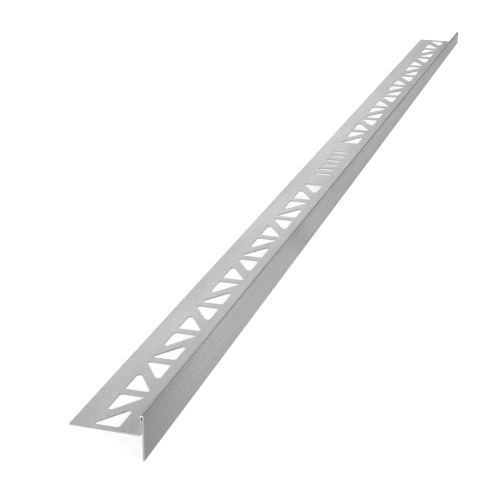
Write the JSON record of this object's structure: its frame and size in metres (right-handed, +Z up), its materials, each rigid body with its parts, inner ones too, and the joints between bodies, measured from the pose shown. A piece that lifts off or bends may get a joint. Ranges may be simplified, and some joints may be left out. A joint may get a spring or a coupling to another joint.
{
  "type": "shower slope wedge profile",
  "caption": "Folded stainless steel edge profile with a perforated flange and a tapering face that closes the wedge at the side of a sloped shower floor.",
  "frame": {"origin": "centre of the bounding box's base, on the surface that the lower edge stands on", "axes": "+X along the length from the deep end to the shallow end, +Y from the visible face to the free edge of the flange, +Z up"},
  "size_m": [1.0004, 0.044, 0.0277],
  "materials": {
    "brushed_stainless": "brushed stainless steel sheet, grain along the length"
  },
  "bodies": {
    "root": {"profile": "brushed_stainless"}
  },
  "joints": []
}
